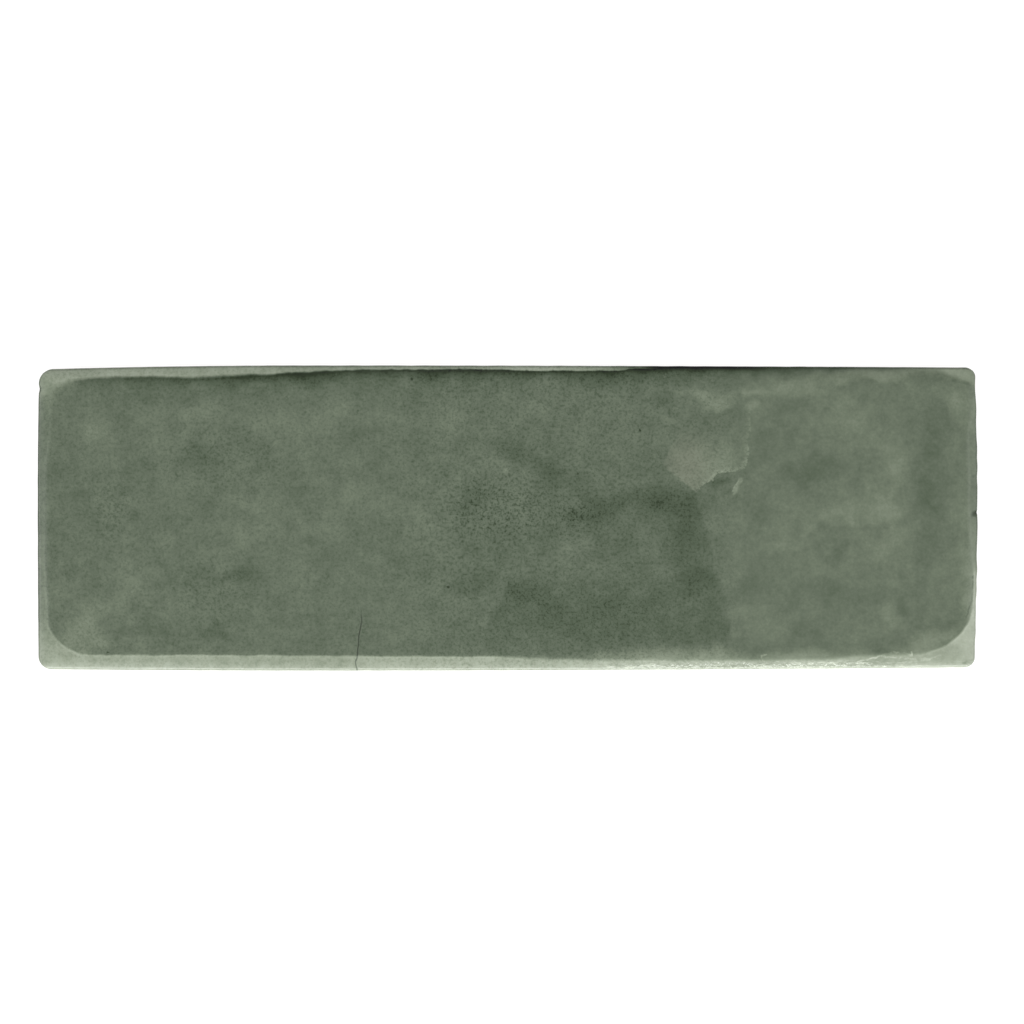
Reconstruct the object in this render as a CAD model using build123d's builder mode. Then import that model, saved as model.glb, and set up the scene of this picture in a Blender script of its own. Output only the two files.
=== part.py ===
"""Glossy ceramic wall tile in the long brick format, pressed, glazed and fired as one piece.

The outline is a rectangle whose sides bow out a little and whose corners are each rounded differently, as on
a tile with a handmade look. The face undulates, and round it a cushion rim slopes down to a soft edge. The
back carries a shallow waffle of pockets that keys into the adhesive.

Frame: origin on the back, under the middle of the tile. +X runs along the length, +Y across the width and
+Z out of the glazed face. Millimetres.
"""

import math
import os

from build123d import *

# Overall size
LENGTH = 200.0
WIDTH = 65.0
THICKNESS = 8.3  # from the back to the plane that the crests of the face stay under

# Outline: how far each end of a side falls back from that side's fullest point, and where that point is
TOP_FALL_LEFT = 0.85
TOP_FALL_RIGHT = 0.45
BOTTOM_FALL_LEFT = 0.30
BOTTOM_FALL_RIGHT = 0.70
LEFT_FALL_TOP = 0.30
LEFT_FALL_BOTTOM = 0.20
RIGHT_FALL_TOP = 0.60
RIGHT_FALL_BOTTOM = 0.65
LONG_SIDE_FULLEST_X = -42.0
SHORT_SIDE_FULLEST_Y = 4.0

# Corner radii of the outline, and of the rim's slope where it is carried on past the face
TOP_LEFT_RADIUS = 3.0
TOP_RIGHT_RADIUS = 2.1
BOTTOM_RIGHT_RADIUS = 2.2
BOTTOM_LEFT_RADIUS = 2.8
CARRIED_ON_RADIUS = 10.0

# Edge: drafted sides, then the cushion rim
SIDE_DRAFT = 0.25  # the back is drawn in by this much all round
RIM_WIDTH = 3.2
RIM_DROP = 1.0
SHOULDER_RADIUS = 0.7  # where the side turns into the rim
FIELD_EDGE_RADIUS = 2.5  # where the rim runs out into the face
BACK_EDGE_RADIUS = 0.4

# Face: two crossed waves, each a little skewed, and a gentle fall towards the top right corner
WAVE_DEPTH = 0.22
WAVE_LENGTH_X = 92.0
WAVE_LENGTH_Y = 54.0
WAVE_SKEW_X = 0.35
WAVE_SKEW_Y = 0.20
FACE_FALL = 0.25
WAVE_STEP = 8.0  # spacing of the points that the face is drawn through
FACE_OVERHANG = 6.0  # the drawn surface reaches this far past the outline

# Waffle on the back
POCKET_LENGTH = 16.8
POCKET_WIDTH = 17.0
POCKET_DEPTH = 0.8
POCKET_RADIUS = 2.0
POCKET_DRAFT_ANGLE = 30.0
LAND_WIDTH = 2.6  # between pockets
BORDER_WIDTH = 3.5  # least land round the waffle

SHOULDER_HEIGHT = THICKNESS - RIM_DROP
PICK_BAND = 0.01  # edges are picked within this distance of a height

OUTLINE_RADII = {
    "top_left": TOP_LEFT_RADIUS,
    "top_right": TOP_RIGHT_RADIUS,
    "bottom_right": BOTTOM_RIGHT_RADIUS,
    "bottom_left": BOTTOM_LEFT_RADIUS,
}
SIDES = (
    ("top", "top_left", "top_right"),
    ("right", "top_right", "bottom_right"),
    ("bottom", "bottom_right", "bottom_left"),
    ("left", "bottom_left", "top_left"),
)


def side_points(inset):
    """The outline's four corners before rounding, and the fullest point of each side, drawn in by inset."""
    half_length = LENGTH / 2 - inset
    half_width = WIDTH / 2 - inset
    corners = {
        "top_left": Vector(-half_length + LEFT_FALL_TOP, half_width - TOP_FALL_LEFT),
        "top_right": Vector(half_length - RIGHT_FALL_TOP, half_width - TOP_FALL_RIGHT),
        "bottom_right": Vector(half_length - RIGHT_FALL_BOTTOM, -half_width + BOTTOM_FALL_RIGHT),
        "bottom_left": Vector(-half_length + LEFT_FALL_BOTTOM, -half_width + BOTTOM_FALL_LEFT),
    }
    fullest = {
        "top": Vector(LONG_SIDE_FULLEST_X, half_width),
        "right": Vector(half_length, SHORT_SIDE_FULLEST_Y),
        "bottom": Vector(LONG_SIDE_FULLEST_X, -half_width),
        "left": Vector(-half_length, SHORT_SIDE_FULLEST_Y),
    }
    return corners, fullest


def outline(height, inset, radii):
    """The outline at a height, drawn in by inset: two arcs a side, tangent at its fullest point, then corners."""
    corners, fullest = side_points(inset)
    with BuildSketch(Plane.XY.offset(height)) as section:
        with BuildLine():
            for side, first, last in SIDES:
                along = Vector(1, 0) if side in ("top", "bottom") else Vector(0, 1)
                for end in (corners[first], corners[last]):
                    TangentArc(fullest[side], end, tangent=along * (end - fullest[side]).dot(along))
        make_face()
        for name, radius in radii.items():
            fillet(section.vertices().sort_by_distance(corners[name])[0], radius=radius)
    return section.sketch


def face_height(x, y):
    """Height of the glazed face over the back at (x, y)."""
    turns_x = x / WAVE_LENGTH_X + WAVE_SKEW_X * y / WAVE_LENGTH_Y
    turns_y = y / WAVE_LENGTH_Y - WAVE_SKEW_Y * x / WAVE_LENGTH_X
    crest = (math.cos(2 * math.pi * turns_x) + math.cos(2 * math.pi * turns_y)) / 2
    towards_top_right = (x / LENGTH + y / WIDTH + 1) / 2
    return THICKNESS - WAVE_DEPTH * (1 - crest) / 2 - FACE_FALL * towards_top_right


def wavy_face():
    """The surface that the glazed face lies in, wider than the tile."""
    reach_x = LENGTH + 2 * FACE_OVERHANG
    reach_y = WIDTH + 2 * FACE_OVERHANG
    columns = math.ceil(reach_x / WAVE_STEP)
    rows = math.ceil(reach_y / WAVE_STEP)
    points = []
    for column in range(columns + 1):
        x = reach_x * (column / columns - 0.5)
        line = []
        for row in range(rows + 1):
            y = reach_y * (row / rows - 0.5)
            line.append(Vector(x, y, face_height(x, y)))
        points.append(line)
    return Face.make_surface_from_array_of_points(points)


def copies_that_fit(room, size):
    """How many pockets of a size fit side by side in a room, with a land between each two."""
    return math.floor((room + LAND_WIDTH) / (size + LAND_WIDTH))


with BuildPart() as tile:
    # Drafted sides up to the shoulder, then the rim's slope, carried on to twice its height
    back = outline(0, SIDE_DRAFT, OUTLINE_RADII)
    shoulder = outline(SHOULDER_HEIGHT, 0, OUTLINE_RADII)
    carried_on_radii = dict.fromkeys(OUTLINE_RADII, CARRIED_ON_RADIUS)
    carried_on = outline(SHOULDER_HEIGHT + 2 * RIM_DROP, 2 * RIM_WIDTH, carried_on_radii)
    loft([back, shoulder, carried_on], ruled=True)

    # The wavy face cuts the slope off, so the rim is widest where the face stands highest
    split(bisect_by=wavy_face(), keep=Keep.BOTTOM)
    fillet(tile.faces().sort_by(Axis.Z)[-1].edges(), radius=FIELD_EDGE_RADIUS)
    shoulder_edges = tile.edges().filter_by_position(
        Axis.Z, SHOULDER_HEIGHT - PICK_BAND, SHOULDER_HEIGHT + PICK_BAND
    )
    fillet(shoulder_edges, radius=SHOULDER_RADIUS)
    fillet(tile.faces().sort_by(Axis.Z)[0].edges(), radius=BACK_EDGE_RADIUS)

    # Waffle of drafted pockets, in as many columns and rows as the back has room for
    with BuildSketch(Plane.XY) as pockets:
        columns = copies_that_fit(LENGTH - 2 * BORDER_WIDTH, POCKET_LENGTH)
        rows = copies_that_fit(WIDTH - 2 * BORDER_WIDTH, POCKET_WIDTH)
        with GridLocations(POCKET_LENGTH + LAND_WIDTH, POCKET_WIDTH + LAND_WIDTH, columns, rows):
            RectangleRounded(POCKET_LENGTH, POCKET_WIDTH, POCKET_RADIUS)
    extrude(amount=POCKET_DEPTH, taper=POCKET_DRAFT_ANGLE, mode=Mode.SUBTRACT)

tile.part.label = "glazed_tile"
os.makedirs("parts", exist_ok=True)
export_step(tile.part, "parts/glazed_tile.step")
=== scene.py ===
"""Dresses a glossy glazed wall tile: its mesh with the relief of the glaze, its two finishes, and a studio.

Sizes in the tile's classes are millimetres in the tile's own frame: +X along the length, +Y across the
width and +Z out of the glazed face, with the origin on the back, under the middle. The finished mesh is
scaled to metres. Tones of the glaze are levels from 0, black, to 255, white, of the green channel as a
screen shows it.
"""

import logging
import math
from dataclasses import dataclass, field
from enum import Enum
from functools import cached_property

import bmesh
import bpy
from mathutils import Matrix, Vector, noise

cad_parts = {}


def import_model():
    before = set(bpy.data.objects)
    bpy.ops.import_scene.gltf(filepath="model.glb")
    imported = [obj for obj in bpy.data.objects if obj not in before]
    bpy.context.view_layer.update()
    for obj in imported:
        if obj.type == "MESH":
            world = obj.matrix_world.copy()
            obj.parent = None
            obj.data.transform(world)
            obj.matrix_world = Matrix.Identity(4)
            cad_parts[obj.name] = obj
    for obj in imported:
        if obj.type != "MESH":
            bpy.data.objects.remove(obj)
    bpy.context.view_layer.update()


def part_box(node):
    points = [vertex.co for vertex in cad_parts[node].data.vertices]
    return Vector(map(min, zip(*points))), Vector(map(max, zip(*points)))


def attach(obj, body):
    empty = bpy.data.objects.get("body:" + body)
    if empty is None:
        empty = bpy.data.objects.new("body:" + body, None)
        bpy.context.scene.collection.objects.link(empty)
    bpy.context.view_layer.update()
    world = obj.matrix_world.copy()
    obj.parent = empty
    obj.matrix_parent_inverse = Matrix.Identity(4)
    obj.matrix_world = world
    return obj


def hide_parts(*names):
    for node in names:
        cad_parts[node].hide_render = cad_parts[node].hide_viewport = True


LOG = logging.getLogger("wall_tile")

Socket = bpy.types.NodeSocket
Pair = tuple[float, float]
Triple = tuple[float, float, float]
Colour = tuple[float, float, float, float]

MM = 0.001
CAD_NODE = "glazed_tile"
CAD_BODY = "root"
NOISE_SEED = 12  # without one, the pools' outlines would wander differently in every run


class Mark(Enum):
    """Fields that the tile's mesh carries from vertex to vertex for its finishes to read."""

    POOLING = "pooling"  # tone that thick and thin places of the glaze add
    FIELD_DEPTH = "field_depth"  # depth inside the thick glaze
    FIELD_SOFT = "field_soft"  # half the width over which the thick glaze gives way to the thin
    RIM_TONE = "rim_tone"  # tone of the thin glaze on the rim, with the painted highlights and painted shade along its lines
    PATCH_EDGE = "patch_edge"  # depth inside the pale patch
    PATCH_FILL = "patch_fill"  # how far the patch is paler than the glaze round it
    PATCH_GLOW = "patch_glow"  # how bright the patch's ragged edge is
    CRACK = "crack"  # distance to the right of the hairline crack
    SPECKLE = "speckle"  # how grainy the glaze is
    ROUGHEN = "roughen"  # how lumpy the edge is, and how thickly its painted glints lie


class Layer(Enum):
    """Layers of the noise, one for each thing that is uneven, so that no two look alike."""

    RIM_LINE = 0.0
    LUMPS = 2.0
    POOLS = 3.0
    FINE_LUMPS = 4.0
    FLOW = 5.0
    FINE_FLOW = 6.0
    BANK = 7.0
    RIPPLE = 11.0
    EDGE = 67.2


class RimTrait(Enum):
    """Traits of the thin glaze, and of the painted light on its outermost line, that pass from one side of
    the tile into the next.
    """

    TONE = "tone"
    SOFTNESS = "softness"
    PAINTED_EDGE_LINE = "brink"
    PAINTED_EDGE_LINE_REACH = "painted_line_reach"


def smooth_step(low: float, high: float, value: float) -> float:
    """Rises smoothly from 0 at low to 1 at high, or falls where high is the lower.

    Args:
        low: Value at which the step starts.
        high: Value at which the step ends.
        value: Where to read the step.

    Returns:
        A number from 0 to 1.
    """
    share = min(max((value - low) / (high - low), 0.0), 1.0)
    return share * share * (3.0 - 2.0 * share)


def meander(x: float, y: float, size: float, layer: Layer) -> float:
    """Smooth noise over the tile.

    Args:
        x: Place along the tile.
        y: Place across the tile.
        size: Size of its features.
        layer: Which of its layers to read.

    Returns:
        A number from about -1 to 1.
    """
    return noise.noise(Vector((x, y, layer.value)) / size)


@dataclass(frozen=True)
class Stops:
    """A quantity that changes smoothly along a line, given at a few places."""

    places: tuple[Pair, ...]

    def at(self, place: float) -> float:
        """Reads the quantity.

        Args:
            place: Distance along the line.

        Returns:
            The quantity there, level past the first and last stops.
        """
        start, value = self.places[0]
        if place <= start:
            return value
        for end, end_value in self.places[1:]:
            if place < end:
                return value + (end_value - value) * smooth_step(start, end, place)
            start, value = end, end_value
        return value


@dataclass(frozen=True)
class Pool:
    """An oval place where the glaze lies thicker, and darker, or thinner, and paler, than round it."""

    x: float
    y: float
    length: float
    width: float
    turn: float  # degrees, anticlockwise
    tone: float

    def at(self, x: float, y: float) -> float:
        """Tone that the place adds, falling away softly to its edge.

        Args:
            x: Place along the tile.
            y: Place across the tile.

        Returns:
            The tone at (x, y).
        """
        angle = math.radians(self.turn)
        along = (x - self.x) * math.cos(angle) + (y - self.y) * math.sin(angle)
        across = (y - self.y) * math.cos(angle) - (x - self.x) * math.sin(angle)
        reach = (2.0 * along / self.length) ** 2 + (2.0 * across / self.width) ** 2
        return self.tone * (1.0 - reach) ** 2 if reach < 1.0 else 0.0


THICK_PLACES = (
    Pool(14.0, -6.0, 100.0, 70.0, 0.0, -5.0),
    Pool(34.5, 3.5, 17.0, 11.0, 5.0, -20.0),
    Pool(21.0, 3.0, 22.0, 9.5, 20.0, -14.0),
    Pool(14.4, 0.2, 8.0, 6.5, 24.0, -11.0),
    Pool(27.5, 3.8, 14.0, 9.0, 5.0, -6.0),
    Pool(2.0, 15.0, 14.0, 7.5, -25.0, -15.0),
    Pool(8.5, 10.0, 13.0, 7.0, -30.0, -11.0),
    Pool(15.0, 7.5, 10.0, 6.0, -20.0, -9.0),
    Pool(-7.0, 3.0, 7.0, 18.0, -8.0, -8.0),
    Pool(2.2, -15.6, 12.0, 7.0, 0.0, -14.0),
    Pool(-8.7, -13.0, 13.0, 8.0, 10.0, -11.0),
    Pool(21.0, -22.5, 60.0, 20.0, 0.0, -7.0),
    Pool(9.0, -19.5, 18.0, 9.0, 0.0, -4.0),
    Pool(30.0, -20.0, 20.0, 11.0, 0.0, -3.0),
    Pool(41.0, -14.4, 13.0, 11.0, -20.0, -11.0),
    Pool(37.3, -5.6, 14.0, 15.0, 0.0, -5.0),
    Pool(-57.9, -12.5, 18.0, 6.5, 8.0, -15.0),
    Pool(-68.0, -11.0, 14.0, 7.0, 30.0, -8.0),
    Pool(-61.9, -24.0, 9.0, 6.5, 0.0, -17.0),
    Pool(-76.0, -24.4, 30.0, 6.0, 0.0, -9.0),
    Pool(-48.0, -22.0, 24.0, 8.0, 0.0, -4.0),
    Pool(-93.0, -12.0, 6.0, 8.0, 0.0, -7.0),
    Pool(-90.0, 4.0, 8.0, 6.0, 0.0, -7.0),
    Pool(-80.6, 0.4, 6.0, 4.0, 45.0, -8.0),
    Pool(-63.3, 3.8, 8.0, 4.0, 40.0, -8.0),
    Pool(-63.9, 13.7, 16.0, 6.0, 10.0, -9.0),
    Pool(-54.6, 26.6, 11.0, 5.0, 0.0, -9.0),
    Pool(-41.3, -3.5, 4.5, 5.5, 40.0, -10.0),
    Pool(-31.4, -24.2, 5.0, 9.0, 0.0, -5.0),
    Pool(-20.0, 18.4, 8.0, 4.0, 0.0, -5.0),
    Pool(33.9, 23.7, 10.0, 6.0, 0.0, -13.0),
    Pool(45.5, 7.9, 5.5, 3.6, 15.0, -20.0),
    Pool(64.0, 9.7, 24.0, 9.0, 10.0, -12.0),
    Pool(75.0, 8.2, 8.0, 6.0, 0.0, -6.0),
    Pool(90.5, 9.0, 9.5, 44.0, 0.0, -11.0),
    Pool(69.2, -5.8, 9.0, 14.0, -20.0, -9.0),
    Pool(66.5, -14.9, 16.0, 7.0, 10.0, -7.0),
    Pool(88.0, -8.0, 10.0, 16.0, 0.0, -6.0),
    Pool(84.5, -19.6, 5.0, 5.0, 0.0, -11.0),
    Pool(45.0, 22.6, 10.0, 2.8, 0.0, -8.0),
    Pool(31.4, 2.6, 6.0, 4.5, 0.0, -9.0),
    Pool(38.6, 4.4, 6.0, 4.5, 0.0, -8.0),
)

THIN_PLACES = (
    Pool(76.0, 0.0, 70.0, 80.0, 0.0, 5.0),
    Pool(-69.2, 22.0, 26.0, 9.0, 0.0, 8.0),
    Pool(-44.0, 21.5, 34.0, 8.0, 4.0, 8.0),
    Pool(-26.0, 21.0, 14.0, 7.0, 0.0, 5.0),
    Pool(-12.0, 22.0, 12.0, 9.0, 0.0, 7.0),
    Pool(5.3, 23.5, 12.0, 6.0, -20.0, 7.0),
    Pool(0.0, 10.7, 2.4, 2.2, 0.0, 20.0),
    Pool(2.6, 4.4, 12.0, 11.0, 0.0, 6.0),
    Pool(14.6, -6.9, 13.0, 7.0, 10.0, 8.0),
    Pool(20.0, -10.5, 16.0, 6.0, 0.0, 5.0),
    Pool(29.3, -4.5, 9.0, 9.0, 0.0, 8.0),
    Pool(-32.0, 5.0, 20.0, 12.0, -15.0, 6.0),
    Pool(-19.0, -1.0, 14.0, 14.0, 0.0, 5.0),
    Pool(-58.6, -3.2, 15.0, 8.0, -20.0, 10.0),
    Pool(-46.0, 1.0, 11.0, 8.0, 0.0, 5.0),
    Pool(-86.6, 18.0, 12.0, 11.0, 0.0, 7.0),
    Pool(-80.0, -14.0, 22.0, 10.0, 38.0, 6.0),
    Pool(-88.0, -20.0, 12.0, 7.0, 45.0, 7.0),
    Pool(-4.0, -20.0, 13.0, 2.0, 72.0, 8.0),
    Pool(49.2, -5.6, 9.0, 14.0, 0.0, 6.0),
    Pool(53.0, -22.0, 22.0, 12.0, 0.0, 7.0),
    Pool(57.5, -6.4, 14.0, 6.0, 5.0, 8.0),
    Pool(64.5, -2.8, 11.0, 6.0, 45.0, 11.0),
    Pool(71.0, 1.0, 14.0, 6.0, 22.0, 11.0),
    Pool(81.0, 2.3, 18.0, 6.0, 6.0, 11.0),
    Pool(79.9, -5.8, 10.0, 9.0, 0.0, 8.0),
    Pool(81.2, -20.0, 5.0, 6.0, 0.0, 10.0),
    Pool(72.0, 21.5, 30.0, 11.0, 0.0, 7.0),
    Pool(82.0, 14.0, 6.0, 26.0, 0.0, 6.0),
    Pool(97.0, -4.0, 5.0, 40.0, 0.0, 8.0),
    Pool(43.0, 25.2, 17.0, 6.2, -3.0, 20.0),
    Pool(47.5, 24.6, 9.0, 4.0, 0.0, 6.0),
    Pool(39.6, 26.2, 6.0, 3.6, 0.0, 9.0),
    Pool(52.5, 27.8, 9.0, 2.4, 5.0, 17.0),
    Pool(53.0, 24.2, 3.0, 5.0, -15.0, 20.0),
    Pool(61.0, 27.6, 24.0, 5.0, 2.0, 16.0),
    Pool(78.0, 30.2, 40.0, 4.8, 1.0, 24.0),
    Pool(97.0, 25.0, 12.0, 12.0, 0.0, 12.0),
    Pool(99.0, -18.5, 8.0, 30.0, 4.0, 24.0),
    Pool(54.0, 29.8, 13.0, 4.0, 0.0, 12.0),
    Pool(46.0, -30.4, 100.0, 7.5, 0.0, 26.0),
    Pool(-91.0, -25.8, 16.0, 13.0, -25.0, 22.0),
    Pool(90.0, -27.5, 24.0, 9.0, 20.0, 20.0),
)

GRAINY_PLACES = (
    Pool(-1.6, 2.0, 34.0, 20.0, 0.0, 0.75),
    Pool(13.5, 0.0, 14.0, 12.0, 20.0, 0.6),
    Pool(-84.0, 2.0, 14.0, 18.0, 0.0, 0.4),
    Pool(-60.0, 12.0, 40.0, 24.0, 0.0, 0.25),
    Pool(-62.0, -16.0, 24.0, 20.0, 0.0, 0.3),
)


@dataclass
class TilePlan:
    """The tile's outline seen from above: a rectangle with bowed sides and four different rounded corners."""

    length: float
    width: float
    fullest_x: float = -42.0  # where the long sides bow out furthest
    fullest_y: float = 4.0  # where the short sides do
    top_falls: Pair = (0.85, 0.45)  # left end, right end
    bottom_falls: Pair = (0.30, 0.70)
    left_falls: Pair = (0.20, 0.30)  # bottom end, top end
    right_falls: Pair = (0.65, 0.60)
    left_radii: Pair = (2.8, 3.0)  # bottom corner, top corner
    right_radii: Pair = (2.2, 2.1)

    @staticmethod
    def bow(place: float, fullest: float, half: float, falls: Pair) -> float:
        """How far a side has fallen back from its fullest point.

        Args:
            place: Distance along the side, from its middle.
            fullest: Where the side is fullest.
            half: Half the side's length.
            falls: How far its two ends fall back.

        Returns:
            The fall at that place.
        """
        if place < fullest:
            return falls[0] * ((fullest - place) / (fullest + half)) ** 2
        return falls[1] * ((place - fullest) / (half - fullest)) ** 2

    def falls(self, x: float, y: float) -> tuple[float, float, float, float]:
        """How far each side has fallen back from its fullest point.

        Args:
            x: Place along the tile.
            y: Place across the tile.

        Returns:
            The falls of the left, right, bottom and top sides.
        """
        half_length = self.length / 2
        half_width = self.width / 2
        left = self.bow(y, self.fullest_y, half_width, self.left_falls)
        right = self.bow(y, self.fullest_y, half_width, self.right_falls)
        bottom = self.bow(x, self.fullest_x, half_length, self.bottom_falls)
        top = self.bow(x, self.fullest_x, half_length, self.top_falls)
        return left, right, bottom, top

    def sides(self, x: float, y: float) -> tuple[float, float, float, float]:
        """How far inside the sides a point lies.

        Args:
            x: Place along the tile.
            y: Place across the tile.

        Returns:
            Distances inside the left, right, bottom and top sides.
        """
        half_length = self.length / 2
        half_width = self.width / 2
        left, right, bottom, top = self.falls(x, y)
        return x + half_length - left, half_length - x - right, y + half_width - bottom, half_width - y - top

    def place(self, x: float, y: float) -> tuple[Vector, Vector]:
        """Moves a point of the plain rectangle to its place in the outline.

        Args:
            x: Place along the rectangle.
            y: Place across the rectangle.

        Returns:
            The place in plan, and the direction straight out of the nearest side.
        """
        half_length = self.length / 2
        half_width = self.width / 2
        radius = (self.right_radii if x > 0 else self.left_radii)[y > 0]
        along = (abs(x) - half_length + radius) / radius
        across = (abs(y) - half_width + radius) / radius
        if along > 0 and across > 0:
            out = Vector((along * math.sqrt(1 - across**2 / 2), across * math.sqrt(1 - along**2 / 2), 0))
            x = math.copysign(half_length - radius + radius * out.x, x)
            y = math.copysign(half_width - radius + radius * out.y, y)
            out = Vector((math.copysign(out.x, x), math.copysign(out.y, y), 0)).normalized()
        elif along > across:
            out = Vector((math.copysign(1, x), 0, 0))
        else:
            out = Vector((0, math.copysign(1, y), 0))
        share_x = x / self.length + 0.5
        share_y = y / self.width + 0.5
        left, right, bottom, top = self.falls(x, y)
        x += left * (1 - share_x) - right * share_x
        y += bottom * (1 - share_y) - top * share_y
        return Vector((x, y, 0)), out


@dataclass(frozen=True)
class Rim:
    """The thin glaze along one side of the tile, with the painted light on its outermost line, each quantity
    given along that side.
    """

    margin: Stops  # its width
    tone: Stops  # its tone
    softness: Stops  # half the width over which the thick glaze gives way to it
    brink: Stops  # painted light that its outermost line adds: a painted highlight along the bottom edge, painted shade along the others
    painted_line_reach: Stops  # width of that painted line


@dataclass
class GlazeField:
    """Where the thick glaze ends and the thin glaze of the rim begins, how pale the rim is there, and the
    painted highlights and shade along the rim's lines.
    """

    plan: TilePlan
    left: Rim = Rim(
        margin=Stops(((-20.0, 2.1), (-13.0, 1.85), (-7.0, 1.45), (4.0, 1.35), (10.0, 1.5), (18.0, 2.6))),
        tone=Stops((
            (-28.0, 156.0), (-20.0, 124.0), (-13.0, 123.0), (-7.0, 117.0), (1.6, 110.0), (10.0, 112.0),
            (18.6, 114.0), (24.0, 120.0), (27.0, 140.0),
        )),
        softness=Stops(((-24.0, 0.28), (-7.0, 0.35), (2.0, 0.6), (10.0, 0.9), (18.0, 2.0), (26.0, 1.5))),
        # painted shade: a dark outline along the left edge
        brink=Stops(((-28.0, -45.0), (0.0, -60.0))),
        painted_line_reach=Stops(((0.0, 0.2),)),
    )
    right: Rim = Rim(
        margin=Stops(((-22.0, 0.95), (-12.0, 0.75), (0.0, 1.8), (17.0, 2.0), (25.0, 0.1))),
        tone=Stops((
            (-28.0, 177.0), (-20.0, 172.0), (-13.0, 165.0), (-8.0, 134.0), (6.0, 115.0), (18.0, 120.0),
            (24.0, 122.0), (28.0, 138.0),
        )),
        softness=Stops(((-24.0, 0.25), (-12.0, 0.3), (-6.0, 1.2), (0.0, 1.7), (20.0, 1.6), (26.0, 0.4))),
        # painted shade: a dark outline along the right edge
        brink=Stops(((-26.0, -10.0), (-14.0, -10.0), (-4.0, -30.0))),
        painted_line_reach=Stops(((0.0, 0.18),)),
    )
    bottom: Rim = Rim(
        margin=Stops((
            (-90.0, 3.2), (-55.0, 3.3), (-38.0, 3.2), (-18.0, 3.05), (-1.0, 2.95), (6.0, 2.5), (15.0, 2.1),
            (28.0, 1.95), (42.0, 1.8), (54.0, 1.75), (66.0, 1.8), (77.0, 2.6), (88.0, 2.9),
        )),
        tone=Stops((
            (-95.0, 156.0), (-80.0, 152.0), (-40.0, 153.0), (-18.0, 158.0), (0.0, 157.0), (15.0, 160.0),
            (42.0, 164.0), (66.0, 168.0), (77.0, 160.0),
        )),
        softness=Stops((
            (-60.0, 0.25), (-4.0, 0.3), (8.0, 0.7), (28.0, 0.7), (42.0, 0.6), (54.0, 0.6), (66.0, 0.7),
            (77.0, 0.8), (86.0, 0.5), (92.0, 0.3),
        )),
        # painted highlight along the nose of the bottom edge, where the key light glints
        brink=Stops(((-90.0, 23.0), (15.0, 22.0), (42.0, 28.0), (66.0, 38.0), (90.0, 34.0))),
        painted_line_reach=Stops(((0.0, 0.6), (66.0, 0.6), (76.0, 0.45))),
    )
    top: Rim = Rim(
        margin=Stops((
            (-96.0, 2.6), (-92.0, 2.5), (-87.0, 2.15), (-76.0, 2.1), (-67.0, 2.5), (-61.0, 2.25),
            (-52.0, 1.9), (-44.0, 1.55), (-36.0, 1.1), (-27.0, 0.85), (-10.0, 0.82), (7.0, 1.15),
            (20.0, 1.15), (28.0, 0.7), (34.0, 0.4), (84.0, 0.3), (90.0, 0.5), (95.0, 1.4),
        )),
        # between x 28 and 58 the tone falls to 20: partly pooled dark glaze, partly painted shade of the top
        # edge, which faces away from the key light
        tone=Stops((
            (-96.0, 164.0), (-90.0, 158.0), (-60.0, 158.0), (-52.0, 156.0), (-44.0, 146.0), (-27.0, 155.0),
            (-10.0, 148.0), (5.0, 166.0), (16.0, 154.0), (22.0, 138.0), (28.0, 96.0), (32.0, 20.0),
            (50.0, 20.0), (58.0, 70.0), (70.0, 84.0), (84.0, 108.0), (90.0, 138.0), (96.0, 150.0),
        )),
        softness=Stops((
            (-96.0, 0.8), (-87.0, 0.45), (-76.0, 0.4), (-61.0, 0.55), (-48.0, 0.35), (-27.0, 0.25),
            (30.0, 0.2), (56.0, 0.8), (84.0, 0.8), (92.0, 0.7),
        )),
        # painted shade: a dark line along the top edge, left out where the rim is already dark
        brink=Stops(((-90.0, -50.0), (20.0, -50.0), (30.0, 0.0), (56.0, 0.0), (70.0, -60.0))),
        painted_line_reach=Stops(((0.0, 0.14),)),
    )
    left_corners: tuple[Pair, ...] = ((9.5, 8.0), (7.0, 4.2))  # bottom, top: along X, along Y
    right_corners: tuple[Pair, ...] = ((13.0, 10.0), (9.0, 3.4))
    painted_lip_highlight: float = 12.0  # painted highlight: a thin pale line on the rim beside the lip of the thick glaze
    lip_highlight_reach: float = 0.35
    nicks: tuple[Pool, ...] = (
        Pool(99.3, 1.0, 2.4, 1.5, 30.0, -70.0),
        Pool(99.0, 8.8, 1.2, 1.0, 0.0, -24.0),
        Pool(98.6, 26.8, 1.4, 1.2, 0.0, -26.0),
        Pool(-99.6, 27.4, 1.6, 2.0, 0.0, -50.0),
    )
    waver: float = 0.18  # how far the edge of the thick glaze wanders
    waver_size: float = 6.0
    nearest: float = 0.3  # sides nearer than this count as this near

    def depth(self, x: float, y: float) -> float:
        """How far inside the edge of the thick glaze a point lies.

        Args:
            x: Place along the tile.
            y: Place across the tile.

        Returns:
            The distance, negative on the rim.
        """
        left, right, bottom, top = self.plan.sides(x, y)
        left -= self.left.margin.at(y)
        right -= self.right.margin.at(y)
        bottom -= self.bottom.margin.at(x)
        top -= self.top.margin.at(x)
        corner = (self.right_corners if right < left else self.left_corners)[top < bottom]
        along = 1.0 - min(left, right) / corner[0]
        across = 1.0 - min(bottom, top) / corner[1]
        waver = self.waver * meander(x, y, self.waver_size, Layer.RIM_LINE)
        if along > 0.0 and across > 0.0:
            return (1.0 - math.hypot(along, across)) * min(corner) + waver
        return min(left, right, bottom, top) + waver

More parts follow.
